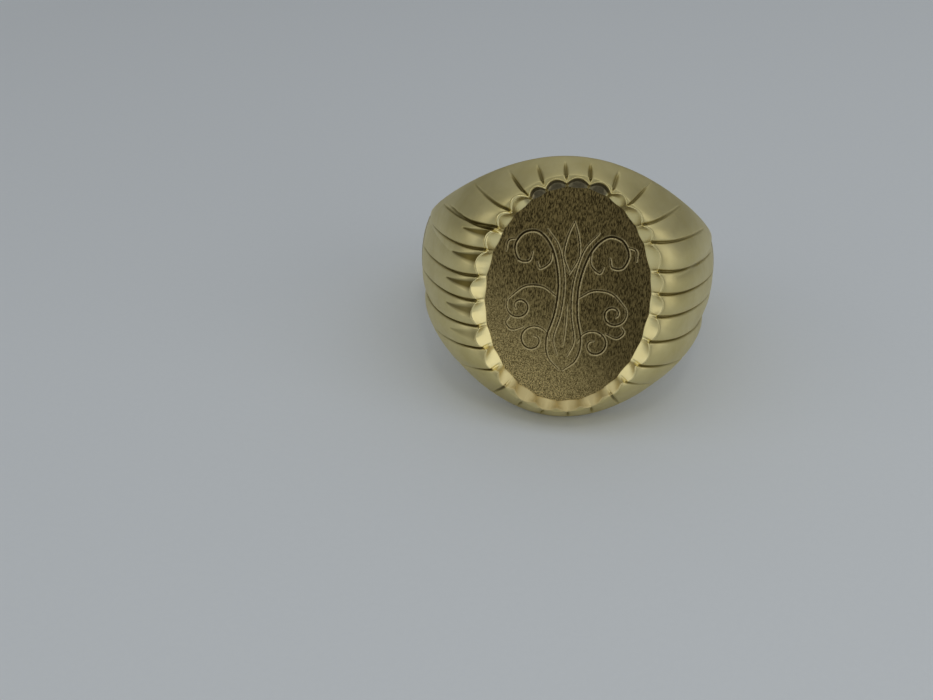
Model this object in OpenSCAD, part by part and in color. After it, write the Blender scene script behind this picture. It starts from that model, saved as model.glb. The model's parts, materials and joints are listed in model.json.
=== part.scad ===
// Signet ring: a hollow gold ring hard-soldered from struck sheet and half-round wire.
// It lies on its side as it rests on a table: the head's lower edge and the back of the
// band touch z = 0, the signet faces -Y and leans back, and +X is across the finger.
// Every sub-part is drawn round the finger axis (Z, face towards -Y) and then laid down.

/* [Finger and band] */
// Inner diameter of the ring
finger_d = 19; // [18.6:0.1:19.4]
// Thickness of the half-round band at its crown
band_t = 1.4; // [1.3:0.05:1.6]
// Width of the band at the back of the finger
band_w = 3.8; // [3.4:0.1:4.4]
// How much lower the band is at its edges where it meets the head
band_crown = 0.45; // [0.35:0.05:0.5]

/* [Head] */
// Width of the head along the finger
head_h = 18; // [17.6:0.1:18.4]
// Distance from the finger axis to the front of the rim
face_out = 12.4; // [12.2:0.1:12.8]
// Distance from the finger axis to the head's two long edges
edge_out = 10.2; // [10.15:0.05:10.35]
// Height of the oval rim's outer edge along the finger
rim_h = 16; // [15.8:0.1:16.4]
// Width of the oval rim's outer edge
rim_w = 12.8; // [12.6:0.1:13]
// Thickness of the curved lining inside the head
lining_t = 0.5; // [0.4:0.05:0.5]
// Wall left round the hollow
wall = 0.55; // [0.45:0.05:0.65]

/* [Decoration] */
// Number of V-cut rays round the head
rays = 28; // [20:2:32]
// Depth of a ray where it meets the rim
ray_depth = 0.3; // [0.1:0.05:0.35]
// How far each flute bulges between two rays
flute_bulge = 0.12; // [0:0.02:0.16]
// How far the rays run from the rim towards the edge
ray_run = 0.9; // [0.7:0.05:0.95]
// Number of scooped lobes in the rim
lobes = 27; // [21:2:31]
// How deep each lobe is scooped into the rim's slope
scoop_depth = 0.15; // [0.05:0.05:0.2]
// How far the points between two lobes stand in towards the plate
lobe_cusp = 0.3; // [0.1:0.05:0.35]

/* [Plate] */
// Height of the oval field along the finger
field_h = 14.6; // [14.4:0.1:14.8]
// Width of the oval field
field_w = 11; // [10.8:0.1:11.2]
// How deep the field lies below the rim
field_depth = 0.65; // [0.5:0.05:0.7]
// Thickness of the plate
plate_t = 0.6; // [0.5:0.05:0.7]
// Thickness of the hard-solder seams
solder_t = 0.1; // [0.06:0.02:0.14]

/* [Hidden] */
gold = [0.80, 0.72, 0.42];
pale_gold = [0.88, 0.80, 0.52];
dark_gold = [0.42, 0.36, 0.20];
solder_gold = [0.74, 0.70, 0.52];

bore_r = finger_d / 2;
crown_r = bore_r + band_t;
lining_r = bore_r + lining_t;
big = 40;

// the flared side of the ring: an arc from the band's width to the head's
flare_from = -5.6;
flare_run = edge_out - flare_from;
flare_rise = (head_h - band_w) / 2;
flare_r = (flare_run * flare_run + flare_rise * flare_rise) / (2 * flare_rise);

// the oval ledge, the plate and the rim, as distances from the finger axis
field_out = face_out - field_depth;
plate_back = field_out - plate_t;
ledge_out = plate_back - solder_t;
ledge_t = 0.5;
plate_lap = 0.35;
window_inset = 0.8;
plate_w = field_w + 2 * plate_lap;
plate_h = field_h + 2 * plate_lap;
window_w = field_w - 2 * window_inset;
window_h = field_h - 2 * window_inset;
roof_out = ledge_out - ledge_t;

// the lying ring's tilt and its place on the table, touching it this share down the band's crown
touch_share = 0.4;
back_edge_r = crown_r - band_crown * touch_share;
tilt = atan2((head_h - band_w) / 2, edge_out + back_edge_r);
rest_z = head_h / 2 * cos(tilt) - edge_out * sin(tilt);
front_y = face_out * cos(tilt) + rim_h / 2 * sin(tilt);
back_y = back_edge_r * cos(tilt) + band_w / 2 * sin(tilt);
rest_y = (front_y - back_y) / 2;

// columns round the head: six to a ray, close together at its V
ray_steps = [0, 0.12, 0.3, 0.5, 0.7, 0.88];
ray_columns = [for (k = [0 : rays - 1]) for (u = ray_steps) [k, u]];
// runs from the rim to the edge on the outside, and back inside the hollow
outer_runs = [0, 0.1, 0.25, 0.42, 0.58, 0.72, 0.84, 0.93, 1];
inner_runs = [0.85, 0.65, 0.45, 0.25, 0];
// columns round the rim: eight to a lobe
lobe_steps = 8;
// clearance that keeps a faceted wall off the true curve it closes on
facet_gap = 0.01;

// half the ring's width along the finger at a distance out from the finger axis
function half_width(out) =
    let (run = max(out - flare_from, 0))
    band_w / 2 + flare_r - sqrt(flare_r * flare_r - run * run);

// one quarter of the head's outline seen from the front, as [across, out, along]:
// the long edge first, then the end of the shoulder where the band starts
joint_w = half_width(0);
function edge_point(a) =
    let (out = edge_out * cos(a))
    [(crown_r - band_crown) * sin(a), out, half_width(out)];
function end_point(z) = [crown_r - band_crown * pow(z / joint_w, 2.2), 0, z];
quarter = concat([for (a = [0 : 3 : 90]) edge_point(a)],
                 [for (i = [1 : 8]) end_point(joint_w * (1 - i / 8))]);
function bearing(p) = atan2(p[2], p[0]);

// how far round the quarter outline a bearing, or a height along the finger, is met
function station_at(bearings, a, i = 0) =
    i >= len(bearings) - 2 || bearings[i + 1] <= a
    ? i + min(max((bearings[i] - a) / (bearings[i] - bearings[i + 1]), 0), 1)
    : station_at(bearings, a, i + 1);
bearings = [for (p = quarter) bearing(p)];
heights = [for (p = quarter) p[2]];

// the outline point at a station, in the quarter that a front-view point lies in
function outline_point(station, p) =
    let (i = min(floor(station), len(quarter) - 2),
         q = quarter[i] + (quarter[i + 1] - quarter[i]) * (station - i))
    [q[0] * (p[0] < 0 ? -1 : 1), q[1], q[2] * (p[1] < 0 ? -1 : 1)];
function radial_station(p) = station_at(bearings, atan2(abs(p[1]), abs(p[0])));

// an oval's point at an eccentric angle, and the angle that spaces columns evenly along it
function oval_at(w, h, e) = [w / 2 * cos(e), h / 2 * sin(e)];
oval_stretch = 180 / PI * (rim_h * rim_h - rim_w * rim_w) / (4 * (rim_h * rim_h + rim_w * rim_w));
function even_angle(turns) =
    let (a = 90 + 360 * turns)
    a - oval_stretch * sin(2 * a);

function smooth(x, from, full) =
    let (t = min(max((x - from) / (full - from), 0), 1))
    t * t * (3 - 2 * t);

// powers that shape the head's fall from the rim to its edge: at the shoulders a dome that
// leaves the rim level and meets the edge steeply, at the two ends almost a straight chamfer
dome_powers = [1.96, 0.734];
chamfer_powers = [1.16, 1];
// heights, as shares of the rim's, where the dome starts and stops turning into the chamfer
dome_below = 0.5;
chamfer_above = 0.95;
function fall_powers(e) =
    let (share = smooth(abs(sin(e)), dome_below, chamfer_above))
    dome_powers + (chamfer_powers - dome_powers) * share;

// where a column of the head ends: flutes run level across the shoulders towards the band,
// and turn radial towards the two ends, half of it over one stretch of height and the rest
// over another
first_turn = [0.5, 0.8];
last_turn = [0.84, 0.98];
function column_end(e) =
    let (rim = oval_at(rim_w, rim_h, e),
         height = abs(sin(e)),
         spread = 1 + (head_h / rim_h - 1) * height * height,
         level = station_at(heights, abs(rim[1]) * spread),
         first = smooth(height, first_turn[0], first_turn[1]),
         last = smooth(height, last_turn[0], last_turn[1]),
         share = (first + last) / 2)
    outline_point(level + (radial_station(rim) - level) * share, rim);

// a point of the smooth head at an eccentric angle and a run from rim to edge
function head_point(e, run) =
    let (rim = oval_at(rim_w, rim_h, e),
         end = column_end(e),
         p = rim + ([end[0], end[2]] - rim) * run,
         edge = outline_point(radial_station(p), p),
         here = norm([p[0] / rim_w, p[1] / rim_h]) * 2 - 1,
         full = norm([edge[0] / rim_w, edge[2] / rim_h]) * 2 - 1,
         powers = fall_powers(e),
         fall = 1 - pow(max(1 - pow(min(max(here / full, 0), 1), powers[0]), 0), powers[1]))
    [p[0], -(face_out + (edge[1] - face_out) * fall), p[1]];

// how deep the rays and flutes lie at u of the way from one ray to the next; a ray is twice as
// wide at the rim as where it fades out, and this is half its width there
ray_half = 0.1;
function relief(u, run) =
    let (fade = max(1 - run / ray_run, 0),
         from_ray = min(u, 1 - u),
         vee = max(1 - from_ray / (ray_half * (1 + fade)), 0))
    flute_bulge * fade * pow(1 - 2 * from_ray, 2) + ray_depth * sqrt(fade) * vee;

// relief is cut square to the smooth head, whose slope is taken over these short steps
run_step = 0.01;
angle_step = 0.5;
function unit(v) = v / norm(v);
function carved_point(e, u, run) =
    let (down = head_point(e, min(run + run_step, 1)) - head_point(e, max(run - run_step, 0)),
         round = head_point(e + angle_step, run) - head_point(e - angle_step, run))
    head_point(e, run) - unit(cross(down, round)) * relief(u, run);

// the shell's side, turned in from its edge to the lining, and its seat along the lining,
// which ends at this share of the way out from the middle
seat = 0.93;
function side_point(e) =
    let (p = head_point(e, 1),
         k = (lining_r + facet_gap) / norm([p[0], p[1]]))
    [p[0] * k, p[1] * k, p[1] > -facet_gap ? p[2] : half_width(-p[1] * k) * sign(p[2])];
function seat_point(e) =
    let (p = side_point(e), r = lining_r + facet_gap)
    [p[0] * seat, -sqrt(r * r - pow(p[0] * seat, 2)), p[2] * seat];

// the hollow's own surface, inside the wall and never below the lining
function hollow_point(e, run) =
    let (p = head_point(e, run),
         q = [p[0] * seat, -min(roof_out, -p[1] - wall)],
         k = max((lining_r + facet_gap) / norm(q), 1))
    [q[0] * k, q[1] * k, p[2] * seat];
function oval_point(w, h, out, e) =
    let (p = oval_at(w, h, e))
    [p[0], -out, p[1]];

// a closed ring-shaped skin from the sections along its columns
module closed_ring(sections) {
    n = len(sections);
    m = len(sections[0]);
    faces = [for (i = [0 : n - 1]) for (j = [0 : m - 1])
        let (a = i * m + j,
             b = i * m + (j + 1) % m,
             c = (i + 1) % n * m + j,
             d = (i + 1) % n * m + (j + 1) % m)
        each [[a, b, d], [a, d, c]]];
    polyhedron([for (section = sections) each section], faces);
}

// a bar across the finger whose section is the ring's side view
module flared_bar() {
    rotate([90, 0, 90])
    linear_extrude(big, center = true)
    difference() {
        square([2 * crown_r + 4, head_h + 4], center = true);
        for (side = [-1, 1]) {
            translate([-flare_from, side * (band_w / 2 + flare_r)])
            circle(flare_r, $fn = 160);
            translate([-flare_from + big / 2, side * (band_w / 2 + big / 2)])
            square(big, center = true);
        }
    }
}

// everything in front of, or behind, a plane across the ring
module slab(from_y, to_y) {
    translate([-big / 2, from_y, -big / 2])
    cube([big, to_y - from_y, big]);
}

// a straight oval bar through the face, from one distance out to another
module oval(w, h, from_out, to_out) {
    translate([0, -from_out, 0])
    rotate([90, 0, 0])
    scale([w / h, 1, 1])
    cylinder(h = to_out - from_out, r = h / 2, $fn = 160);
}

// the half-round section, turned round the finger
module band_stock() {
    arc_r = (joint_w * joint_w + band_crown * band_crown) / (2 * band_crown);
    rotate_extrude($fn = 120)
    intersection() {
        translate([bore_r, -joint_w - 1])
        square([band_t, 2 * joint_w + 2]);
        translate([crown_r - arc_r, 0])
        circle(arc_r, $fn = 120);
    }
}

module lay_down() {
    translate([0, rest_y, rest_z])
    rotate([-tilt, 0, 0])
    children();
}

function shell_section(k, u) =
    let (e = even_angle((k + u + 0.5) / rays))
    concat([for (run = outer_runs) carved_point(e, u, run)],
           [side_point(e), seat_point(e)],
           [for (run = inner_runs) hollow_point(e, run)],
           [oval_point(window_w, window_h, roof_out, e),
            oval_point(window_w, window_h, ledge_out, e),
            oval_point(rim_w, rim_h, ledge_out, e)]);

module head_shell() {
    color(gold)
    lay_down()
    closed_ring([for (c = ray_columns) shell_section(c[0], c[1])]);
}

// a lobe is scooped from its outline on the rim down to a low lip at the edge of the field; a
// narrow bead stands outside the outline, and the cusps are cut a little lower than the lobes
bead = 0.05;
lip_rise = 0.05;
cusp_dip = 0.06;
function rim_section(i) =
    let (turns = i / (lobes * lobe_steps),
         e = even_angle(turns),
         bulge = abs(cos(180 * lobes * turns)),
         cusp = lobe_cusp * (1 - bulge),
         lip = field_out + lip_rise,
         top = face_out - cusp_dip * (1 - bulge),
         start = [rim_w, rim_h] - [1, 1] * 2 * (bead + cusp),
         size = [field_w, field_h] - start)
    concat([oval_point(rim_w - facet_gap, rim_h - facet_gap, ledge_out, e),
            oval_point(rim_w - facet_gap, rim_h - facet_gap, top, e)],
           [for (t = [0 : 0.25 : 1])
               let (oval = start + size * t,
                    out = top + (lip - top) * t - scoop_depth * bulge * sin(180 * t))
               oval_point(oval[0], oval[1], out, e)],
           [oval_point(field_w, field_h, field_out, e),
            oval_point(plate_w + facet_gap, plate_h + facet_gap, field_out, e),
            oval_point(plate_w + facet_gap, plate_h + facet_gap, ledge_out, e)]);

module cut_rim() {
    color(pale_gold)
    lay_down()
    closed_ring([for (i = [0 : lobes * lobe_steps - 1]) rim_section(i)]);
}

module signet_plate() {
    color(dark_gold)
    lay_down()
    oval(plate_w, plate_h, plate_back, field_out);
}

module plate_solder() {
    color(solder_gold)
    lay_down()
    difference() {
        oval(plate_w, plate_h, ledge_out, plate_back);
        oval(window_w, window_h, ledge_out - 1, plate_back + 1);
    }
}

module finger_lining() {
    color(gold)
    lay_down()
    intersection() {
        difference() {
            cylinder(h = big, r = lining_r, center = true, $fn = 120);
            cylinder(h = big + 1, r = bore_r, center = true, $fn = 120);
        }
        flared_bar();
        slab(-big / 2, 0);
    }
}

module shank_band() {
    color(gold)
    lay_down()
    intersection() {
        band_stock();
        flared_bar();
        slab(solder_t, big / 2);
    }
}

// the solder between the band and one shoulder
module seam(side) {
    color(solder_gold)
    lay_down()
    intersection() {
        band_stock();
        flared_bar();
        slab(0, solder_t);
        translate([side * big / 2, 0, 0])
        cube(big, center = true);
    }
}

module left_seam() {
    seam(-1);
}

module right_seam() {
    seam(1);
}

head_shell();
cut_rim();
signet_plate();
plate_solder();
finger_lining();
shank_band();
left_seam();
right_seam();
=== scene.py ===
"""A gold signet ring lying on its side on a pale table: fluted head, scalloped bright-cut rim,
matt engraved plate, plain half-round band.

Every piece is drawn in the ring's own frame, in millimetres: Z along the finger, the face towards
-Y, and "out" for the distance from the finger axis towards the face. to_row() lays it down.
"""

import json
import math

import bpy
import numpy as np
from mathutils import Matrix, Vector


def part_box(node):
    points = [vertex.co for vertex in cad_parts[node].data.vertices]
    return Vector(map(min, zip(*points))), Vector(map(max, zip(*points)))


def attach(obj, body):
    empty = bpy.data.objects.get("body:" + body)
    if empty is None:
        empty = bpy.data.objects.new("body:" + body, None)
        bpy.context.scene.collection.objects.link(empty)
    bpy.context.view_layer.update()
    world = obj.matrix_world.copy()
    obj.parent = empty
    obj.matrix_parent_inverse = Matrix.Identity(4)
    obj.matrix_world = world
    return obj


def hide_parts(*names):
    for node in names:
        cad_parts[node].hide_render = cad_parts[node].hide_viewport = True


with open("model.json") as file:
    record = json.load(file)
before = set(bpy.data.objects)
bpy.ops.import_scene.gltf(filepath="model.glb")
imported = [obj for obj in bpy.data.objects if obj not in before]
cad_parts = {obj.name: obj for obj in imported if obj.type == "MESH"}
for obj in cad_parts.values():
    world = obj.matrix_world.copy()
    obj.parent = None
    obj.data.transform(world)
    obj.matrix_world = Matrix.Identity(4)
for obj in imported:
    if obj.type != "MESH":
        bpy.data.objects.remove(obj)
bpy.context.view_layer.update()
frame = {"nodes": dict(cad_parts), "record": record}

MM = 0.001
rng = np.random.default_rng(28)

# ---------------------------------------------------------------- sizes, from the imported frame

bore = next(m for m in frame["record"]["mounts"] if m["name"] == "finger_bore")
BORE_R = bore["dims"]["r_mm"]
CENTRE = np.array(bore["pos_m"]) / MM
FINGER = np.array(bore["axis"])
ACROSS = np.array([1.0, 0.0, 0.0])
BACK = np.cross(FINGER, ACROSS)


# where the camera stands and looks, in metres from the middle of the finger hole
EYE_FROM_BORE = Vector((-0.0013, -0.08712, 0.04907))
AIM_FROM_BORE = Vector((-0.00679, -0.00531, -0.00524))
CAMERA_ROLL = math.radians(3.08)
LENS, SENSOR = 51.25, 36


def make_camera():
    """Looks down at the leaning face, with the ring up and to the right of the picture's middle."""
    camera = bpy.data.cameras.new("camera")
    camera.lens = LENS
    camera.sensor_width = SENSOR
    camera.clip_start = 0.005
    camera.clip_end = 10
    eye = bpy.data.objects.new("camera", camera)
    eye.location = Vector(CENTRE * MM) + EYE_FROM_BORE
    look = (AIM_FROM_BORE - EYE_FROM_BORE).to_track_quat("-Z", "Y").to_matrix()
    eye.rotation_euler = (look @ Matrix.Rotation(CAMERA_ROLL, 3, "Z")).to_euler()
    bpy.context.scene.collection.objects.link(eye)
    bpy.context.scene.camera = eye


make_camera()


def to_row(points):
    """Ring-frame points in millimetres, laid down in the row frame in metres."""
    points = np.asarray(points, float)
    x, y, z = points[..., 0:1], points[..., 1:2], points[..., 2:3]
    return (CENTRE + x * ACROSS + y * BACK + z * FINGER) * MM


# the band, the head and the lining
CROWN_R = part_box("shank_band")[1].x / MM
BAND_W = 3.8
BAND_CROWN = 0.45
HEAD_H = 18.0
FACE_OUT = 12.4
EDGE_OUT = 10.2
LINING_T = 0.5
SOLDER_T = 0.1
LINING_R = BORE_R + LINING_T
# the head's wall, the share of the way out at which it sits on the lining, and their clearance
WALL = 0.55
SEAT = 0.93
GAP = 0.01

# the flared side of the ring: an arc from the band's width to the head's
FLARE_FROM = -5.6
FLARE_RUN = EDGE_OUT - FLARE_FROM
FLARE_RISE = (HEAD_H - BAND_W) / 2
FLARE_R = (FLARE_RUN**2 + FLARE_RISE**2) / (2 * FLARE_RISE)

# the oval rim and field, cut by hand a little off centre
CUSP_W, CUSP_H = 12.0, 15.36
FIELD_W, FIELD_H = 11.0, 14.6
OFF_X, OFF_Z = 0.12, -0.12

# the plate, the ledge that it is soldered to and the window in the ledge
FIELD_DEPTH = 0.65
PLATE_T = 0.6
LEDGE_T = 0.5
PLATE_LAP = 0.35
WINDOW_INSET = 0.8
FIELD_OUT = FACE_OUT - FIELD_DEPTH
PLATE_BACK = FIELD_OUT - PLATE_T
LEDGE_OUT = PLATE_BACK - SOLDER_T
ROOF_OUT = LEDGE_OUT - LEDGE_T

# rays and flutes on the head, lobes round its rim
RAYS = 28
LOBES = 27
RAY_DEPTH = 0.2
FLUTE_BULGE = 0.14


# ---------------------------------------------------------------- shape functions


def half_width(out):
    """Half the ring's width along the finger at a distance out from the finger axis."""
    run = np.maximum(out - FLARE_FROM, 0)
    return BAND_W / 2 + FLARE_R - np.sqrt(FLARE_R**2 - run**2)


JOINT_W = float(half_width(0))


def smooth(x, low, high):
    """Eases from 0 at low to 1 at high."""
    t = np.clip((x - low) / (high - low), 0, 1)
    return t * t * (3 - 2 * t)


# how squarely the band's crown falls to its edges where the head joins it
CROWN_POWER = 2.2


def outline_table(flare_steps=240, joint_steps=60):
    """A quarter of the head's outline, from the band round to the top: across, out, along."""
    a = np.radians(np.linspace(0, 90, flare_steps))
    out = EDGE_OUT * np.cos(a)
    long_edge = np.stack([(CROWN_R - BAND_CROWN) * np.sin(a), out, half_width(out)], 1)
    z = JOINT_W * (1 - np.linspace(0, 1, joint_steps)[1:])
    joint = np.stack([CROWN_R - BAND_CROWN * (z / JOINT_W) ** CROWN_POWER, 0 * z, z], 1)
    return np.concatenate([long_edge, joint])[::-1]


QUARTER = outline_table()
BEARINGS = np.arctan2(QUARTER[:, 2], QUARTER[:, 0])
STATIONS = np.arange(len(QUARTER))


def outline_point(station, x, z):
    """The outline at a station, in the quarter where x and z lie."""
    across, out, along = (np.interp(station, STATIONS, QUARTER[:, i]) for i in range(3))
    return across * np.sign(x), out, along * np.sign(z)


def outline_at(x, z):
    """The head's edge in the direction of a front-view point."""
    station = np.interp(np.arctan2(np.abs(z), np.abs(x)), BEARINGS, STATIONS)
    return outline_point(station, x, z)


def even_angle(turns):
    """The eccentric angle, from the top, that spaces columns evenly along the oval."""
    a = math.pi / 2 - 2 * math.pi * turns
    stretch = (CUSP_H**2 - CUSP_W**2) / (4 * (CUSP_H**2 + CUSP_W**2))
    return a - stretch * np.sin(2 * a)


# rays that were spaced by eye, and how far out of step each one is, in flutes
OUT_OF_STEP = {2: -0.15, 3: -0.1, 4: -0.3, 8: 0.15, 9: 0.28, 10: 0.18, 17: -0.12, 18: -0.12, 19: -0.15,
               21: 0.1, 22: 0.3, 23: 0.38, 24: 0.25, 25: 0.25, 26: 0.04}
RAY_COUNT = np.arange(-1, RAYS + 1)
RAY_AT = RAY_COUNT + np.array([OUT_OF_STEP.get(k % RAYS, 0) for k in RAY_COUNT])


def count_rays(turns):
    """Rays passed since the top, whole at each ray."""
    return np.interp(RAYS * turns - 0.5, RAY_AT, RAY_COUNT)


def lobe_place(turns):
    """Which lobe a column belongs to, and how far across it, from -1 to 1."""
    t = (count_rays(turns) + 0.5) / RAYS
    t = (t + 0.5) % 1 - 0.5
    # lobes keep step with the rays down to the sides, and lose one between there and the bottom
    count = RAYS * t - 0.5 * np.sign(t) * smooth(np.abs(t), 0.26, 0.5)
    index = np.round(count)
    return index, 2 * (count - index)


def ray_place(turns):
    """The nearest ray, and how far from it, in flutes."""
    count = count_rays(turns)
    index = np.round(count)
    return index % RAYS, count - index


# the ray at the upper left that the cutter went over a second time, and how strongly
TWICE_CUT = 23
TWICE_CUT_STRENGTH = 1.5

# each ray and lobe was cut by hand, so no two are quite the same
ray_shift = rng.normal(0, 0.03, RAYS)
ray_length = rng.normal(0, 0.025, RAYS)
ray_strength = rng.uniform(0.85, 1.15, RAYS)
ray_strength[TWICE_CUT] = TWICE_CUT_STRENGTH
lobe_reach = rng.normal(0, 0.03, LOBES + 1)
lobe_inset = rng.uniform(0.6, 1.3, LOBES + 1)


def oval_points(e, width, height):
    """Front-view points of an oval round the middle of the field."""
    return np.stack([OFF_X + width / 2 * np.cos(e), OFF_Z + height / 2 * np.sin(e)], -1)


# how far a lobe bulges out past its cusps, how much more at the left and less at the bottom, how
# round it is, and how far it dips into the field
LOBE_BULGE = 0.34
LOBE_MORE_LEFT = 0.12
LOBE_LESS_LOW = 0.14
LOBE_POWER = 1.25
LOBE_DIP = 0.08


def rim_lines(turns):
    """Front-view points of the lobes' outline and of the field's edge, and the way outwards."""
    e = even_angle(turns)
    index, across = lobe_place(turns)
    i = index.astype(int) % LOBES
    arch = (1 - across**2) ** LOBE_POWER
    left = smooth(-np.cos(e), -0.2, 0.9)
    low = smooth(-np.sin(e), 0.5, 1)
    bulge = (LOBE_BULGE + LOBE_MORE_LEFT * left - LOBE_LESS_LOW * low + lobe_reach[i]) * arch
    dip = LOBE_DIP * lobe_inset[i] * arch
    normal = np.stack([np.cos(e) / CUSP_W, np.sin(e) / CUSP_H], -1)
    normal /= np.linalg.norm(normal, axis=-1, keepdims=True)
    outer = oval_points(e, CUSP_W, CUSP_H) + normal * bulge[..., None]
    inner = oval_points(e, FIELD_W, FIELD_H) - normal * dip[..., None]
    return outer, inner, normal


# columns turn from level to radial over two stretches of height, sooner below the middle
FIRST_TURN = (0.5, 0.8)
LAST_TURN = (0.84, 0.98)
TURN_SOONER_LOW = 0.15


def column_end(turns):
    """Where a column meets the head's edge: level across the shoulders, radial at the ends."""
    e = even_angle(turns)
    x, z = CUSP_W / 2 * np.cos(e), CUSP_H / 2 * np.sin(e)
    height = np.abs(np.sin(e))
    level = np.abs(z) * (1 + (HEAD_H / CUSP_H - 1) * height**2)
    across = np.interp(level, QUARTER[:, 2], STATIONS)
    radial = np.interp(np.arctan2(np.abs(z), np.abs(x)), BEARINGS, STATIONS)
    turned = height + TURN_SOONER_LOW * smooth(-np.sin(e), 0.1, 0.5)
    share = (smooth(turned, *FIRST_TURN) + smooth(turned, *LAST_TURN)) / 2
    return outline_point(across + (radial - across) * share, x, z)


# the head's fall from the rim to its edge: a dome at the shoulders, nearly a straight chamfer at
# the top and bottom, as powers that bend its start and its end
DOME_W, DOME_H = 12.5, 16.0
DOME_START, CHAMFER_START = 1.96, 1.16
DOME_END, CHAMFER_END = 0.734, 1.0


def dome(turns, run):
    """The smooth head: run is 0 at the scalloped rim and 1 at the outer edge."""
    start, _, _ = rim_lines(turns)
    end_x, _, end_z = column_end(turns)
    x = start[..., 0] + (end_x - start[..., 0]) * run
    z = start[..., 1] + (end_z - start[..., 1]) * run
    across, out, along = outline_at(x, z)
    oval = np.sqrt((x / (DOME_W / 2)) ** 2 + (z / (DOME_H / 2)) ** 2)
    edge_oval = np.sqrt((across / (DOME_W / 2)) ** 2 + (along / (DOME_H / 2)) ** 2)
    s = np.clip((oval - 1) / np.maximum(edge_oval - 1, 0.02), 0, 1)
    chamfer = smooth(np.abs(np.sin(even_angle(turns))), 0.5, 0.95)
    start_power = DOME_START + (CHAMFER_START - DOME_START) * chamfer
    end_power = DOME_END + (CHAMFER_END - DOME_END) * chamfer
    fall = 1 - np.maximum(1 - s**start_power, 0) ** end_power
    return np.stack([x, -(FACE_OUT + (out - FACE_OUT) * fall), z], -1)


def grid_normals(points):
    """Normals of a grid of columns that closes on itself along its first axis."""
    round_ = np.roll(points, -1, 0) - np.roll(points, 1, 0)
    down = np.gradient(points, axis=1)
    n = np.cross(round_, down)
    return n / np.maximum(np.linalg.norm(n, axis=-1, keepdims=True), 1e-9)


# ---------------------------------------------------------------- mesh helpers


def new_object(name, points, faces, material):
    """A smooth-shaded piece from ring-frame points."""
    mesh = bpy.data.meshes.new(name)
    mesh.from_pydata(to_row(points).tolist(), [], faces)
    mesh.validate()
    mesh.update()
    mesh.shade_smooth()
    piece = bpy.data.objects.new(name, mesh)
    bpy.context.scene.collection.objects.link(piece)
    mesh.materials.append(material)
    return piece


def ring_faces(n, m):
    """Quads of a skin that closes both round its n columns and along its m rows."""
    i, j = np.meshgrid(np.arange(n), np.arange(m), indexing="ij")
    a = i * m + j
    b = i * m + (j + 1) % m
    c = (i + 1) % n * m + (j + 1) % m
    d = (i + 1) % n * m + j
    return np.stack([a, b, c, d], -1).reshape(-1, 4).tolist()


def bar_faces(n, m, flip=False):
    """Quads of a bar whose m-point sections run along n stations, with a cap at each end."""
    i, j = np.meshgrid(np.arange(n - 1), np.arange(m), indexing="ij")
    a = i * m + j
    b = i * m + (j + 1) % m
    quads = np.stack([a, b, b + m, a + m], -1)
    first_cap, last_cap = list(range(m))[::-1], list(range((n - 1) * m, n * m))
    faces = quads.reshape(-1, 4).tolist() + [first_cap, last_cap]
    return [f[::-1] for f in faces] if flip else faces


def set_values(piece, name, values):
    """A named value on every point, which the material reads."""
    attribute = piece.data.attributes.new(name, "FLOAT", "POINT")
    attribute.data.foreach_set("value", np.asarray(values, np.float32).ravel())


def rounded(corners, radii, steps=6):
    """A closed section through its corners, each rounded by a short curve."""
    corners = np.asarray(corners, float)
    points = []
    for k, p in enumerate(corners):
        to_last = corners[k - 1] - p
        to_next = corners[(k + 1) % len(corners)] - p
        if radii[k] == 0:
            points.append(p)
            continue
        start = p + to_last * min(radii[k] / np.linalg.norm(to_last), 0.45)
        end = p + to_next * min(radii[k] / np.linalg.norm(to_next), 0.45)
        for t in np.linspace(0, 1, steps):
            points.append(start * (1 - t) ** 2 + 2 * p * t * (1 - t) + end * t**2)
    return np.array(points)


# ---------------------------------------------------------------- materials


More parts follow.
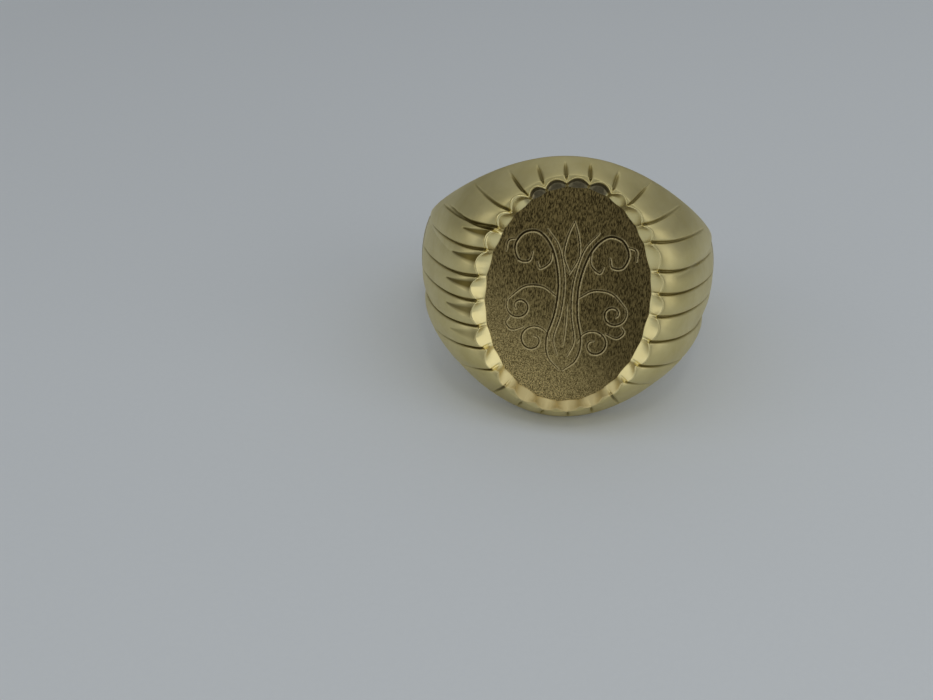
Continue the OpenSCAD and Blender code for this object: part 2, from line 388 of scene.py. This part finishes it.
class Nodes:
    """Short names for building a material's node tree."""

    def __init__(self, name):
        self.material = bpy.data.materials.new(name)
        self.material.use_nodes = True
        self.tree = self.material.node_tree
        self.shader = self.tree.nodes["Principled BSDF"]
        self.place = self.tree.nodes.new("ShaderNodeTexCoord").outputs["Object"]

    def feed(self, socket, value):
        """Gives a socket a constant, or links another node's output to it."""
        if isinstance(value, bpy.types.NodeSocket):
            self.tree.links.new(value, socket)
        else:
            socket.default_value = value

    def add(self, kind, **inputs):
        node = self.tree.nodes.new(kind)
        for key, value in inputs.items():
            self.feed(node.inputs[key], value)
        return node

    def noise(self, scale, detail=4.0, roughness=0.6, stretch=(1, 1, 1), turn=(0, 0, 0)):
        """Noise whose scale is in features per millimetre, stretched along the ring's axes."""
        mapping = self.add("ShaderNodeMapping", Vector=self.place)
        mapping.inputs["Rotation"].default_value = turn
        mapping.inputs["Scale"].default_value = [s / MM for s in stretch]
        node = self.add("ShaderNodeTexNoise", Vector=mapping.outputs[0], Scale=scale, Detail=detail)
        node.inputs["Roughness"].default_value = roughness
        return node.outputs["Fac"]

    def spread(self, value, low, high, to_low, to_high):
        """Maps values from one range to another, and clips them to it."""
        node = self.add("ShaderNodeMapRange", Value=value)
        ranges = {"From Min": low, "From Max": high, "To Min": to_low, "To Max": to_high}
        for key, number in ranges.items():
            node.inputs[key].default_value = number
        return node.outputs[0]

    def mix(self, factor, first, second):
        """A colour between two others."""
        node = self.tree.nodes.new("ShaderNodeMix")
        node.data_type = "RGBA"
        self.feed(node.inputs[0], factor)
        self.feed(node.inputs[6], first)
        self.feed(node.inputs[7], second)
        return node.outputs[2]

    def math(self, operation, first, second):
        node = self.tree.nodes.new("ShaderNodeMath")
        node.operation = operation
        self.feed(node.inputs[0], first)
        self.feed(node.inputs[1], second)
        return node.outputs[0]

    def attribute(self, name):
        """The value that set_values() gave to a piece's points, or 0."""
        node = self.tree.nodes.new("ShaderNodeAttribute")
        node.attribute_name = name
        return node.outputs["Fac"]

    def bump(self, height, distance, strength):
        """A normal bumped by a height, with the distance in millimetres."""
        node = self.add("ShaderNodeBump", Height=height, Distance=distance * MM, Strength=strength)
        return node.outputs[0]

    def set(self, socket, value):
        self.feed(self.shader.inputs[socket], value)


def worn_gold():
    """Satin-polished gold of the head and band: faint scratches, handling haze, darker rays, painted
    shade in dimples.
    """
    n = Nodes("worn_gold")
    haze = n.noise(0.35, detail=3)
    clean = n.mix(n.spread(haze, 0.35, 0.65, 0, 1), (0.64, 0.55, 0.25, 1), (0.71, 0.62, 0.31, 1))
    # the cut value darkens the rays and paints shade into the dimples
    n.set("Base Color", n.mix(n.attribute("cut"), clean, (0.17, 0.13, 0.035, 1)))
    n.set("Metallic", 1.0)
    wear = n.noise(2.2, detail=6)
    n.set("Roughness", n.spread(wear, 0.3, 0.7, 0.40, 0.52))
    scratches = n.noise(6.0, detail=2, stretch=(0.12, 1.0, 1.6), turn=(0.3, 0.2, 0.5))
    n.set("Normal", n.bump(scratches, 0.004, 0.5))
    return n.material


def cut_gold():
    """Bright-cut gold of the scooped lobes: nearly a mirror, a painted dark reflection in the steep
    scoops, darker and rougher below.
    """
    n = Nodes("cut_gold")
    tone = n.noise(1.2, detail=2)
    worn = n.attribute("worn")
    fresh = n.mix(tone, (0.87, 0.75, 0.35, 1), (0.94, 0.83, 0.44, 1))
    # the lobes are darker towards the bottom
    bright = n.mix(worn, fresh, (0.72, 0.6, 0.3, 1))
    scoop_painted_reflection = n.mix(n.noise(5.0, detail=4), (0.09, 0.075, 0.04, 1), (0.34, 0.29, 0.17, 1))
    # the cut value paints a dark reflection into the steep scoops
    n.set("Base Color", n.mix(n.attribute("cut"), bright, scoop_painted_reflection))
    n.set("Metallic", 1.0)
    n.set("Roughness", n.spread(worn, 0, 1, 0.3, 0.52))
    n.set("Normal", n.bump(n.noise(2.0, detail=2), 0.003, 0.5))
    return n.material


def matt_plate():
    """Dull engraved plate: streaks above and grain below, dark in its pits, darker at the right, painted
    highlight on burrs.
    """
    n = Nodes("matt_plate")
    streaks = n.noise(14.0, detail=3, roughness=0.6, stretch=(1.0, 0.3, 0.3))
    grain = n.noise(13.0, detail=3, roughness=0.6)
    low_down = n.attribute("low")
    texture = n.mix(low_down, streaks, grain)
    dark = n.mix(low_down, (0.05, 0.036, 0.013, 1), (0.155, 0.114, 0.042, 1))
    light = n.mix(low_down, (0.34, 0.256, 0.098, 1), (0.88, 0.695, 0.305, 1))
    light = n.mix(n.attribute("tarnish"), light, (0.26, 0.197, 0.077, 1))
    flat = n.mix(n.spread(texture, 0.40, 0.62, 0, 1), dark, light)
    # the burrs beside the cuts are painted a paler gold, a painted highlight
    with_burr_highlight = n.mix(n.attribute("burr"), flat, (0.75, 0.62, 0.32, 1))
    n.set("Base Color", n.mix(n.attribute("cut"), with_burr_highlight, (0.035, 0.026, 0.01, 1)))
    n.set("Metallic", 1.0)
    n.set("Roughness", n.spread(texture, 0.3, 0.7, 0.5, 0.36))
    n.set("Normal", n.bump(texture, 0.03, 0.8))
    return n.material


def solder_gold():
    """Hard solder, a little paler than the gold that it joins."""
    n = Nodes("solder_gold")
    n.set("Base Color", n.mix(n.noise(2.0), (0.66, 0.60, 0.38, 1), (0.74, 0.68, 0.45, 1)))
    n.set("Metallic", 1.0)
    n.set("Roughness", n.spread(n.noise(5.0), 0.3, 0.7, 0.3, 0.42))
    return n.material


def table_paper():
    """Pale cool paper with a faint tooth, with painted shade darkening it towards the back and left."""
    n = Nodes("table_paper")
    tooth = n.noise(2.5, detail=5)
    split = n.add("ShaderNodeSeparateXYZ", Vector=n.place)
    # painted shade: the paper is darker towards the back and left, lighter towards the front and right
    near = n.spread(n.math("SUBTRACT", split.outputs["X"], split.outputs["Y"]), -0.12, 0.06, 0, 1)
    painted_shade_tone = n.mix(tooth, (0.63, 0.655, 0.67, 1), (0.65, 0.675, 0.69, 1))
    painted_lit_tone = n.mix(tooth, (0.775, 0.805, 0.82, 1), (0.805, 0.835, 0.85, 1))
    n.set("Base Color", n.mix(near, painted_shade_tone, painted_lit_tone))
    n.set("Roughness", 0.85)
    n.set("Normal", n.bump(tooth, 0.02, 0.4))
    return n.material


GOLD = worn_gold()
CUT = cut_gold()
MATT = matt_plate()
SOLDER = solder_gold()


# ---------------------------------------------------------------- head shell

HEAD_COLUMNS = 1120
OUTER_ROWS = 52


# the strength of the dark dimple that some flutes have beside their lobe, whose darkness is painted
# shade, and a dimple's length along the flute, its place and half width across it, in flutes, and its
# depth
DIMPLES = {18: 0.45, 19: 0.85, 20: 1.1, 21: 1.2, 22: 1.1}
DIMPLE_RUN = 0.4
DIMPLE_AT = 0.64
DIMPLE_HALF = 0.2
DIMPLE_DEPTH = 0.07

# rays at the sides are wedges: their length, and their half width far out and added at the rim
RAY_RUN = 0.95
WEDGE_HALF, WEDGE_MORE = 0.04, 0.05
# rays at the top are spindles: where they start, how long they run and their half width; those at
# the bottom start later and are shorter and narrower by this much
SPINDLE_FROM, SPINDLE_RUN, SPINDLE_HALF = 0.03, 0.77, 0.115
LOW_LATER, LOW_SHORTER, LOW_NARROWER = 0.25, 0.1, 0.055
# narrower than this, a ray is shallower too
FULL_DEPTH_HALF = 0.07


def ray_cut(offset, run, i, up, low):
    """Depth of one V cut, 1 at its deepest: wedges at the sides, spindles at the ends."""
    fade = np.maximum(1 - run / (RAY_RUN + ray_length[i]), 0)
    wedge = (WEDGE_HALF + WEDGE_MORE * fade) * smooth(fade, 0, 0.08)
    along = (run - SPINDLE_FROM - LOW_LATER * low) / (SPINDLE_RUN - LOW_SHORTER * low)
    bow = np.sin(math.pi * np.clip(along, 0, 1))
    spindle = (SPINDLE_HALF - LOW_NARROWER * low) * np.maximum(bow, 0) ** 0.8
    half = np.maximum(wedge + (spindle - wedge) * np.maximum(up, low), 0.004)
    vee = np.maximum(1 - np.abs(offset) / half, 0)
    return vee * np.minimum(half / FULL_DEPTH_HALF, 1) * ray_strength[i]


def relief(turns, run):
    """How deep the rays and flutes are cut, and how dark the cuts are."""
    index, offset = ray_place(turns)
    i = index.astype(int)
    e = even_angle(turns)
    up = smooth(np.sin(e), 0.75, 0.96)
    low = smooth(-np.sin(e), 0.78, 0.97)
    right = smooth(np.cos(e), -0.3, 0.5)
    offset = offset - ray_shift[i] * run
    rays = ray_cut(offset, run, i, up, low)
    # the second cut starts beside the first one, crosses it and is a little shorter and deeper
    second = ray_cut(offset + 0.15 - 0.32 * run, run * 1.1, i, 0, 0) * (i == TWICE_CUT)
    rays = np.maximum(rays, second * 1.2)
    ridge = (2 * np.abs(offset) - 1) ** 2
    flutes = FLUTE_BULGE * smooth(1 - run, 0, 0.5) * (1 - 0.5 * up) * ridge
    count = count_rays(turns)
    flute = np.floor(count)
    weight = np.zeros_like(turns)
    for number, share in DIMPLES.items():
        weight[flute == number] = share
    reach = np.maximum(1 - run / DIMPLE_RUN, 0)
    from_middle = np.abs(count - flute - DIMPLE_AT) / (0.02 + DIMPLE_HALF * reach)
    dimple = weight * np.clip(1.4 - from_middle, 0, 1) * (reach > 0)
    # the darkening in a ray thins out along it, and there is less at the top and at the right
    dark = np.clip(rays * 2.2 - 0.25, 0, 1) * (0.9 - 0.35 * smooth(run, 0.4, 0.9) - 0.15 * up)
    dark = dark * (1 - 0.25 * right)
    depth = flutes + RAY_DEPTH * rays + DIMPLE_DEPTH * dimple
    # the dimples are darkened with painted shade
    return depth, np.clip(np.maximum(dark, dimple), 0, 1)


def side_rows(edge):
    """From the outer edge in over the flared side to the lining, then along under the shell."""
    r = np.linalg.norm(edge[..., :2], axis=-1)
    rows = []
    for share in (0.25, 0.5, 0.75, 1.0):
        k = (r + (LINING_R + GAP - r) * share) / r
        out = -edge[..., 1] * k
        z = np.where(edge[..., 1] > -GAP, edge[..., 2], half_width(out) * np.sign(edge[..., 2]))
        rows.append(np.stack([edge[..., 0] * k, edge[..., 1] * k, z], -1))
    seat = rows[-1].copy()
    seat[..., 0] *= SEAT
    seat[..., 2] *= SEAT
    seat[..., 1] = -np.sqrt((LINING_R + GAP) ** 2 - seat[..., 0] ** 2)
    return rows + [seat]


def oval_row(turns, width, height, out):
    """A flat oval of points at a distance out."""
    xz = oval_points(even_angle(turns), width, height)
    return np.stack([xz[:, 0], np.full_like(turns, -out), xz[:, 1]], -1)


def carved_dome(turns, run):
    """The head's outer skin with its flutes and rays, and how dark the cuts are."""
    t, r = np.meshgrid(turns, run, indexing="ij")
    skin = dome(t, r)
    depth, dark = relief(t, r)
    normal = grid_normals(skin)
    if normal[:, 1, 1].mean() > 0:
        normal = -normal
    return skin - normal * depth[..., None], dark


# rows lie closer together near the rim and the edge than halfway
HEAD_RUN = np.linspace(0, 1, OUTER_ROWS)
HEAD_RUN = HEAD_RUN + 0.06 * np.sin(2 * math.pi * HEAD_RUN)


def make_head():
    """The dome, its rounded edge, the side, the hollow under it, the ledge and the rim's wall."""
    turns = np.arange(HEAD_COLUMNS) / HEAD_COLUMNS
    outer, dark = carved_dome(turns, HEAD_RUN)
    # the outer edge is rounded over onto the side, in place of the dome's last four rows
    side = side_rows(outer[:, -1])
    corner, before, after = outer[:, -1], outer[:, -4], side[0]
    steps = np.linspace(0, 1, 7)[:, None, None]
    fillet = before * (1 - steps) ** 2 + 2 * corner * steps * (1 - steps) + after * steps**2
    under = []
    for share in (0.85, 0.65, 0.45, 0.25, 0.0):
        p = dome(turns, np.full_like(turns, share))
        inner = np.stack([p[:, 0] * SEAT, -np.minimum(ROOF_OUT, -p[:, 1] - WALL), p[:, 2] * SEAT], -1)
        r = np.linalg.norm(inner[:, :2], axis=-1)
        inner[:, :2] *= np.maximum((LINING_R + GAP) / r, 1)[:, None]
        under.append(inner)
    window = (FIELD_W - 2 * WINDOW_INSET, FIELD_H - 2 * WINDOW_INSET)
    outline, _, _ = rim_lines(turns)
    wall = np.stack([outline[:, 0], np.full_like(turns, -LEDGE_OUT), outline[:, 1]], -1)
    opening = [oval_row(turns, *window, out) for out in (ROOF_OUT, LEDGE_OUT)]
    tail = side[1:] + under + opening + [wall]
    rows = np.concatenate([outer[:, :-4], fillet.transpose(1, 0, 2), np.stack(tail, 1)], 1)
    n, m = rows.shape[:2]
    piece = new_object("fluted_head", rows.reshape(-1, 3), ring_faces(n, m), GOLD)
    # the rays are darkened and the dimples carry painted shade
    ray_dark_and_dimple_shade = np.zeros((n, m))
    ray_dark_and_dimple_shade[:, : OUTER_ROWS - 4] = dark[:, :-4]
    set_values(piece, "cut", ray_dark_and_dimple_shade)
    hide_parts("head_shell")
    return piece


# ---------------------------------------------------------------- cut rim

RIM_COLUMNS = LOBES * 40
SCOOP_ROWS = 20
# how much a lobe is hollowed, how wide the bead round it is, how high the burr stands on the bead's
# middle and flanks, and how high the scoops end above the field
SCOOP = 0.035
BEAD = 0.08
BURR_TOP, BURR_FLANK = 0.034, 0.016
LIP = 0.02


def make_rim():
    turns = np.arange(RIM_COLUMNS) / RIM_COLUMNS
    outline, field, normal = rim_lines(turns)
    _, across = lobe_place(turns)
    arch = 1 - across**2
    # the scoops at the top are the deepest, with steep walls
    deep = np.sqrt(arch) * (1 - smooth(np.abs((turns + 0.518) % 1 - 0.5), 0.055, 0.09))
    skin, _ = carved_dome(turns, HEAD_RUN[:4])
    top = -skin[:, 0, 1]
    lip = FIELD_OUT + LIP

    def point(xz, out):
        return np.stack([xz[:, 0], -out, xz[:, 1]], -1)

    rows = [point(outline, np.full_like(turns, LEDGE_OUT)), point(outline, top - 0.02)]
    # a burr, raised most at the top and widest at the upper left, follows the outline, and then
    # the scoop falls to the field
    e = even_angle(turns)
    wide = smooth(np.sin(e) - np.cos(e), 1.15, 1.35) * (1 - deep)
    # the lobes are shallower, darker and rougher towards the bottom
    worn = smooth(-np.sin(e), 0.6, 0.95)
    burr = 0.15 + 0.85 * smooth(np.sin(e), 0.7, 0.92) + 1.4 * wide
    bead = (BEAD * (1 + 1.8 * wide))[:, None]
    for share, rise in ((0.1, BURR_FLANK), (0.5, BURR_TOP), (0.9, BURR_FLANK)):
        rows.append(point(outline - normal * bead * share, top + rise * burr))
    start = outline - normal * bead
    first_scoop_row = len(rows)
    for share in np.linspace(0, 1, SCOOP_ROWS):
        xz = start + (field - start) * share
        wall = 1 - smooth(share, 0, 0.5)
        fall = (top - lip) * ((1 - share) * (1 - deep) + wall * deep)
        hollow = SCOOP * arch * math.sin(math.pi * share) * (1 - 0.8 * worn)
        rows.append(point(xz, np.maximum(lip + fall - hollow, lip)))
    under = np.full_like(turns, FIELD_OUT)
    plate = (FIELD_W + 2 * PLATE_LAP + GAP, FIELD_H + 2 * PLATE_LAP + GAP)
    rows += [point(field, under), oval_row(turns, *plate, FIELD_OUT), oval_row(turns, *plate, LEDGE_OUT)]
    rows = np.stack(rows, 1)
    n, m = rows.shape[:2]
    piece = new_object("scalloped_rim", rows.reshape(-1, 3), ring_faces(n, m), CUT)
    # the steep scoops at the top get a painted dark reflection
    dark = np.zeros((n, m))
    dark[:, first_scoop_row + 2 : first_scoop_row + SCOOP_ROWS] = smooth(deep, 0.35, 0.6)[:, None]
    set_values(piece, "cut", dark)
    set_values(piece, "worn", np.repeat(worn, m))
    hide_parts("cut_rim")
    return piece


# ---------------------------------------------------------------- engraved plate

PLATE_COLUMNS, PLATE_ROWS = 300, 400


def spiral(cx, cz, r_from, r_to, start, end, steps=60):
    """Points along a spiral, with angles in degrees from +X towards the top."""
    a = np.radians(np.linspace(start, end, steps))
    r = np.linspace(r_from, r_to, steps)
    return np.stack([cx + r * np.cos(a), cz + r * np.sin(a)], 1)


def curve(points, steps=60):
    """A smooth curve through a few points."""
    p = np.asarray(points, float)
    p = np.concatenate([[2 * p[0] - p[1]], p, [2 * p[-1] - p[-2]]])
    spans = []
    for k in range(1, len(p) - 2):
        t = np.linspace(0, 1, steps // (len(p) - 3) + 2)[:, None]
        a, b, c, d = p[k - 1 : k + 3]
        bend = (2 * a - 5 * b + 4 * c - d) * t**2 + (3 * b - a - 3 * c + d) * t**3
        spans.append(0.5 * (2 * b + (c - a) * t + bend))
    return np.concatenate(spans)


def flourish():
    """Strokes of a mirrored scroll ornament: (points, half width, depth)."""
    strokes = []

    for side in (-1, 1):
        def add(points, half, depth):
            strokes.append((points * [side, 1], half, depth))

        stem = curve([(0.15, -5.1), (0.95, -4.3), (1.15, -3.0), (0.75, -1.2), (0.7, 0.9), (1.25, 3.0),
                      (2.2, 4.1), (3.2, 4.0), (3.75, 3.1), (3.45, 2.2), (2.75, 2.15), (2.55, 2.75)], 200)
        inner = curve([(0.35, -4.1), (0.7, -3.0), (0.35, -1.2), (0.3, 0.9), (0.8, 3.1),
                       (1.7, 4.35)], 110)
        add(stem, 0.08, 0.08)
        add(inner, 0.055, 0.06)
        sweep = curve([(0.72, -0.1), (1.7, 0.5), (2.9, 0.4), (3.9, -0.5)], 70)
        add(sweep, 0.06, 0.06)
        add(spiral(3.15, -1.0, 0.9, 0.25, 35, -400), 0.065, 0.07)
        add(spiral(2.05, -3.2, 1.1, 0.28, 175, -260), 0.065, 0.07)
        add(curve([(2.75, -2.35), (3.5, -2.6), (3.95, -2.2), (3.75, -1.8)]), 0.055, 0.06)
        add(curve([(1.3, 3.1), (1.35, 2.2), (1.95, 1.7), (2.2, 2.1)]), 0.055, 0.06)
        add(curve([(3.6, 3.6), (4.2, 3.4), (4.3, 2.7)]), 0.05, 0.05)
        bud = curve([(0, 1.5), (0.5, 2.7), (0.35, 4.0), (0, 5.0)])
        add(bud, 0.055, 0.06)

    strokes.append((curve([(0, -3.4), (0.04, -1.9), (0, -0.6)]), 0.05, 0.05))
    return strokes


# the burr that the graver throws up beside a cut: its height, its width, and how near the cut it is
BURR_RISE = 0.018
BURR_WIDTH = 0.035
BURR_AT = 1.3


def engrave(x, z):
    """Depth of the cut, and height of the burr beside it, at each point."""
    depth = np.zeros(x.shape)
    burr = np.zeros(x.shape)
    for points, half, deep in flourish():
        low, high = points.min(0) - 0.4, points.max(0) + 0.4
        near = (x > low[0]) & (x < high[0]) & (z > low[1]) & (z < high[1])
        px, pz = x[near], z[near]
        distance = np.full(px.shape, 9.0)
        taper = np.zeros(px.shape)
        lit = np.zeros(px.shape)
        ends = np.linspace(0, 1, len(points) - 1)
        for k in range(len(points) - 1):
            a, b = points[k], points[k + 1]
            ab = b - a
            t = np.clip(((px - a[0]) * ab[0] + (pz - a[1]) * ab[1]) / max(ab @ ab, 1e-9), 0, 1)
            dx, dz = px - a[0] - ab[0] * t, pz - a[1] - ab[1] * t
            d = np.hypot(dx, dz)
            closer = d < distance
            distance[closer] = d[closer]
            # the burr is raised most on the cut's lower right side, where its painted highlight is
            # strongest
            lit[closer] = (0.8 * dx - 0.6 * dz)[closer] > 0
            taper[closer] = 0.45 + 0.55 * math.sin(math.pi * ends[k]) ** 0.5
        width = half * taper
        cut = deep * taper * np.maximum(1 - distance / width, 0)
        from_ridge = (distance - width * BURR_AT) / BURR_WIDTH
        ridge = BURR_RISE * np.exp(-(from_ridge**2)) * (0.3 + 0.7 * lit)
        depth[near] = np.maximum(depth[near], cut)
        burr[near] = np.maximum(burr[near], ridge)
    return depth, burr * (depth == 0)


def make_plate():
    """A square grid rounded to an oval, engraved in front and flat behind."""
    columns, rows = np.linspace(-1, 1, PLATE_COLUMNS), np.linspace(-1, 1, PLATE_ROWS)
    u, v = np.meshgrid(columns, rows, indexing="ij")
    half_w, half_h = FIELD_W / 2 + PLATE_LAP, FIELD_H / 2 + PLATE_LAP
    x = half_w * u * np.sqrt(1 - v**2 / 2)
    z = half_h * v * np.sqrt(1 - u**2 / 2)
    depth, burr = engrave(x, z)
    inside = smooth(1 - np.hypot(x / (FIELD_W / 2), z / (FIELD_H / 2)), 0.0, 0.02)
    # the grain is round and bright at the lower left, streaked above and darker at the right
    low = smooth(-z - 0.6 * x, -1, 8.5)
    tarnish = smooth(x, -0.5, 4.5) * (1 - low)
    x, z = x + OFF_X, z + OFF_Z
    front = np.stack([x, -(FIELD_OUT - depth * inside + burr * inside), z], -1).reshape(-1, 3)
    back = np.stack([x, np.full_like(x, -PLATE_BACK), z], -1)
    i, j = np.meshgrid(np.arange(PLATE_COLUMNS - 1), np.arange(PLATE_ROWS - 1), indexing="ij")
    a = i * PLATE_ROWS + j
    faces = np.stack([a, a + PLATE_ROWS, a + PLATE_ROWS + 1, a + 1], -1).reshape(-1, 4).tolist()
    border = [(k, 0) for k in range(PLATE_COLUMNS)]
    border += [(PLATE_COLUMNS - 1, k) for k in range(1, PLATE_ROWS)]
    border += [(k, PLATE_ROWS - 1) for k in range(PLATE_COLUMNS - 2, -1, -1)]
    border += [(0, k) for k in range(PLATE_ROWS - 2, 0, -1)]
    rim = [p * PLATE_ROWS + q for p, q in border]
    first = len(front)
    count = len(rim)
    under = np.array([back[p, q] for p, q in border])
    for k in range(count):
        k2 = (k + 1) % count
        faces.append([rim[k], first + k, first + k2, rim[k2]])
    faces.append([first + k for k in range(count)][::-1])
    points = np.concatenate([front, under])
    piece = new_object("engraved_plate", points, faces, MATT)
    below = np.zeros(count)
    set_values(piece, "cut", np.concatenate([np.clip(depth / 0.05, 0, 1).ravel(), below]))
    set_values(piece, "burr", np.concatenate([np.clip(burr / 0.015, 0, 1).ravel(), below]))
    set_values(piece, "low", np.concatenate([low.ravel(), below]))
    set_values(piece, "tarnish", np.concatenate([tarnish.ravel(), below]))
    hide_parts("signet_plate")
    return piece


# ---------------------------------------------------------------- band, lining and seams


# how far the band's inner and outer corners are rounded
INNER_ROUND = 0.16
OUTER_ROUND = 0.3


def band_section(angle):
    """The half-round section at an angle round the finger, 0 at the face, as ring-frame points."""
    out = CROWN_R * math.cos(angle)
    w = float(half_width(out))
    z = np.linspace(-w, w, 15)
    crown = [(CROWN_R - BAND_CROWN * abs(v / JOINT_W) ** CROWN_POWER, v) for v in z]
    corners = [(BORE_R, -w)] + crown + [(BORE_R, w)]
    flat = [0] * (len(crown) - 2)
    radii = [INNER_ROUND, OUTER_ROUND] + flat + [OUTER_ROUND, INNER_ROUND]
    rz = rounded(corners, radii)
    x, y = math.sin(angle), -math.cos(angle)
    return np.stack([rz[:, 0] * x, rz[:, 0] * y, rz[:, 1]], -1)


def make_band():
    start = math.pi / 2 + SOLDER_T / CROWN_R
    angles = np.linspace(start, 2 * math.pi - start, 180)
    rows = np.array([band_section(a) for a in angles])
    piece = new_object("plain_band", rows.reshape(-1, 3), bar_faces(*rows.shape[:2]), GOLD)
    set_values(piece, "cut", np.zeros(len(piece.data.vertices)))
    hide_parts("shank_band")
    return piece


def make_seam(name, node, side):
    angles = np.linspace(math.pi / 2, math.pi / 2 + SOLDER_T / CROWN_R, 3) * side
    rows = np.array([band_section(a) for a in angles])
    piece = new_object(name, rows.reshape(-1, 3), bar_faces(*rows.shape[:2], flip=side < 0), SOLDER)
    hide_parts(node)
    return piece


def make_lining():
    angles = np.linspace(-math.pi / 2, math.pi / 2, 220)
    rows = []
    for angle in angles:
        x, y = math.sin(angle), -math.cos(angle)
        w_in = float(half_width(BORE_R * math.cos(angle)))
        w_out = float(half_width(LINING_R * math.cos(angle)))
        z = np.linspace(w_in, -w_in, 21)
        corners = [(LINING_R, -w_out), (LINING_R, w_out)] + [(BORE_R, v) for v in z]
        radii = [0.05, 0.05, 0.2] + [0] * (len(z) - 2) + [0.2]
        rz = rounded(corners, radii)
        rows.append(np.stack([rz[:, 0] * x, rz[:, 0] * y, rz[:, 1]], -1))
    rows = np.array(rows)
    piece = new_object("finger_side_lining", rows.reshape(-1, 3), bar_faces(*rows.shape[:2]), GOLD)
    set_values(piece, "cut", np.zeros(len(piece.data.vertices)))
    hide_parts("finger_lining")
    return piece


PIECES = [
    make_head(),
    make_rim(),
    make_plate(),
    make_band(),
    make_lining(),
    make_seam("left_solder_line", "left_seam", -1),
    make_seam("right_solder_line", "right_seam", 1),
]
for piece in PIECES:
    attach(piece, "root")
bed = frame["nodes"]["plate_solder"]
bed.data.materials.clear()
bed.data.materials.append(SOLDER)


# ---------------------------------------------------------------- table and light


def make_table():
    bpy.ops.mesh.primitive_plane_add(size=4, location=(0, 0, 0))
    table = bpy.context.object
    table.name = "table"
    table.data.materials.append(table_paper())


RING_MIDDLE = Vector((0, 0, 0.01))


def soft_light(name, place, size, power):
    """A soft box that faces the ring, in metres and watts."""
    light = bpy.data.lights.new(name, "AREA")
    light.shape = "RECTANGLE"
    light.size, light.size_y = size
    light.energy = power
    lamp = bpy.data.objects.new(name, light)
    lamp.location = place
    lamp.rotation_euler = (RING_MIDDLE - Vector(place)).to_track_quat("-Z", "Y").to_euler()
    bpy.context.scene.collection.objects.link(lamp)


def make_sky():
    """A soft room, dim low down and pale overhead."""
    world = bpy.data.worlds.new("room")
    bpy.context.scene.world = world
    world.use_nodes = True
    tree = world.node_tree
    background = tree.nodes["Background"]
    place = tree.nodes.new("ShaderNodeTexCoord")
    split = tree.nodes.new("ShaderNodeSeparateXYZ")
    tree.links.new(place.outputs["Generated"], split.inputs[0])
    ramp = tree.nodes.new("ShaderNodeValToRGB")
    tree.links.new(split.outputs["Z"], ramp.inputs[0])
    steps = ramp.color_ramp.elements
    steps[0].position, steps[0].color = 0.0, (0.16, 0.168, 0.175, 1)
    steps[1].position, steps[1].color = 1.0, (0.52, 0.54, 0.56, 1)
    for position, level in ((0.5, 0.26), (0.8, 0.46)):
        steps.new(position).color = (level, level * 1.04, level * 1.08, 1)
    tree.links.new(ramp.outputs[0], background.inputs[0])
    background.inputs[1].default_value = 1.0


make_table()
make_sky()
soft_light("overhead", (0.1, -0.02, 0.52), (0.7, 0.5), 0.11)
soft_light("lamp", (0.02, -0.17, 0.46), (0.07, 0.07), 0.07)
soft_light("left", (-0.39, -0.24, 0.16), (0.5, 0.34), 0.28)
soft_light("right", (0.39, -0.24, 0.16), (0.5, 0.34), 0.335)
bpy.context.scene.view_settings.view_transform = "Standard"
